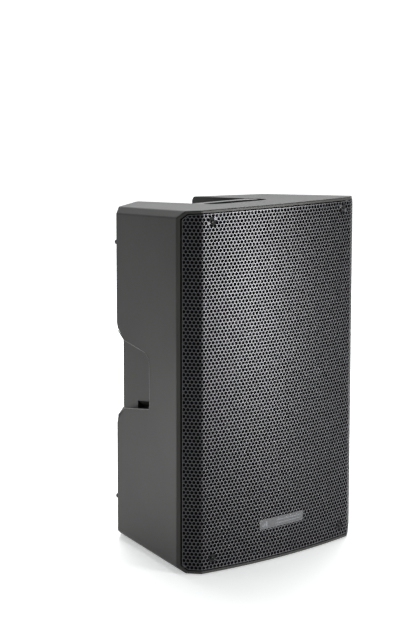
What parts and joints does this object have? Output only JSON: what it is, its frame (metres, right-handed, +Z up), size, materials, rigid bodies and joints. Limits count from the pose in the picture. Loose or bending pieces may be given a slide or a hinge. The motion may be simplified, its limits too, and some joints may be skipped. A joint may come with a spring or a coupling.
{
  "type": "pa speaker cabinet",
  "caption": "Powered two-way loudspeaker cabinet with tapered moulded shell, curved perforated grille, recessed handles and a rear amplifier panel.",
  "frame": {"origin": "on the surface the cabinet stands on, under the middle of its bounding box", "axes": "+X to the right seen from the front, +Y to the back (the grille faces -Y), +Z up"},
  "size_m": [0.4424, 0.4332, 0.7198],
  "materials": {
    "moulded_shell": "satin black moulded polypropylene with a fine grain",
    "grip_bar": "soft-touch moulded grip, satin",
    "baffle_plastic": "black moulded plastic",
    "grille_steel": "powder-coated perforated steel, satin dark grey",
    "acoustic_foam": "open-cell black foam",
    "badge_metal": "dark anodised plate",
    "basket_casting": "black pressed steel",
    "ferrite": "ferrite and blackened iron",
    "cone_paper": "doped paper pulp",
    "surround_rubber": "matt rubber",
    "treated_cloth": "resin-treated cotton",
    "copper_winding": "enamelled copper",
    "horn_plastic": "black moulded plastic",
    "titanium": "formed titanium",
    "painted_panel": "black powder coat",
    "heatsink_alloy": "extruded",
    "circuit_board": "solder mask green",
    "socket_plastic": "black nylon",
    "knob_plastic": "dark grey moulded",
    "lamp_lens": "green lens",
    "screw_steel": "blackened",
    "latch_steel": "plated",
    "foot_rubber": "matt"
  },
  "bodies": {
    "cabinet": {"amp_board": "circuit_board", "amp_heatsink": "heatsink_alloy", "amp_panel": "painted_panel", "amp_screw_1": "screw_steel", "amp_screw_2": "screw_steel", "amp_screw_3": "screw_steel", "amp_screw_4": "screw_steel", "badge_plate": "badge_metal", "bass_port_left": "horn_plastic", "bass_port_right": "horn_plastic", "cabinet_shell": "moulded_shell", "compression_driver": "ferrite", "front_baffle": "baffle_plastic", "front_grille": "grille_steel", "grille_foam": "acoustic_foam", "grille_screw_1": "screw_steel", "grille_screw_2": "screw_steel", "grille_screw_3": "screw_steel", "grille_screw_4": "screw_steel", "horn_screw_1": "screw_steel", "horn_screw_2": "screw_steel", "horn_screw_3": "screw_steel", "horn_screw_4": "screw_steel", "horn_waveguide": "horn_plastic", "input_socket_1": "socket_plastic", "input_socket_2": "socket_plastic", "link_output": "socket_plastic", "pole_socket": "horn_plastic", "power_inlet": "socket_plastic", "power_lamp": "lamp_lens", "power_transformer": "copper_winding", "rocker_frame": "socket_plastic", "rubber_foot_1": "foot_rubber", "rubber_foot_2": "foot_rubber", "rubber_foot_3": "foot_rubber", "rubber_foot_4": "foot_rubber", "side_foot_lower": "foot_rubber", "side_foot_upper": "foot_rubber", "top_handle": "grip_bar", "woofer_basket": "basket_casting", "woofer_magnet": "ferrite", "woofer_screw_1": "screw_steel", "woofer_screw_2": "screw_steel", "woofer_screw_3": "screw_steel", "woofer_screw_4": "screw_steel", "woofer_spider": "treated_cloth", "woofer_surround": "surround_rubber"},
    "woofer_moving": {"woofer_cone": "cone_paper", "woofer_voice_coil": "copper_winding", "woofer_dust_cap": "cone_paper"},
    "diaphragm": {"driver_diaphragm": "titanium"},
    "input_knob_1": {"input_knob_1": "knob_plastic"},
    "input_knob_2": {"input_knob_2": "knob_plastic"},
    "master_knob": {"master_knob": "knob_plastic"},
    "latch_tab_1": {"latch_tab_1": "latch_steel"},
    "latch_tab_2": {"latch_tab_2": "latch_steel"},
    "mode_button": {"mode_button": "knob_plastic"},
    "power_rocker": {"power_rocker": "socket_plastic"},
    "fuse_drawer": {"fuse_drawer": "socket_plastic"}
  },
  "joints": [
    {"name": "cone_travel", "type": "slide", "parent": "cabinet", "child": "woofer_moving", "axis": [0, -1, 0], "range_m": [-0.006, 0.006], "stiffness_N_per_m": 3500, "deforming": ["woofer_surround", "woofer_spider"]},
    {"name": "diaphragm_travel", "type": "slide", "parent": "cabinet", "child": "diaphragm", "axis": [0, -1, 0], "range_m": [-0.0004, 0.0004], "stiffness_N_per_m": 4000},
    {"name": "input_knob_1_turn", "type": "hinge", "parent": "cabinet", "child": "input_knob_1", "pos_m": [-0.03, 0.20625, 0.44], "axis": [0, 1, 0], "range_deg": [-150, 150]},
    {"name": "input_knob_2_turn", "type": "hinge", "parent": "cabinet", "child": "input_knob_2", "pos_m": [0.03, 0.20625, 0.44], "axis": [0, 1, 0], "range_deg": [-150, 150]},
    {"name": "master_knob_turn", "type": "hinge", "parent": "cabinet", "child": "master_knob", "pos_m": [0, 0.20625, 0.388], "axis": [0, 1, 0], "range_deg": [-150, 150]},
    {"name": "latch_tab_1_press", "type": "slide", "parent": "cabinet", "child": "latch_tab_1", "axis": [0, -1, 0], "range_m": [0, 0.0018], "stiffness_N_per_m": 400},
    {"name": "latch_tab_2_press", "type": "slide", "parent": "cabinet", "child": "latch_tab_2", "axis": [0, -1, 0], "range_m": [0, 0.0018], "stiffness_N_per_m": 400},
    {"name": "mode_button_press", "type": "slide", "parent": "cabinet", "child": "mode_button", "axis": [0, -1, 0], "range_m": [0, 0.0015], "stiffness_N_per_m": 400},
    {"name": "power_rocker_tilt", "type": "hinge", "parent": "cabinet", "child": "power_rocker", "pos_m": [0.03, 0.20525, 0.194], "axis": [1, 0, 0], "range_deg": [0, 22]},
    {"name": "fuse_drawer_pull", "type": "slide", "parent": "cabinet", "child": "fuse_drawer", "axis": [0, 1, 0], "range_m": [0, 0.014]}
  ]
}
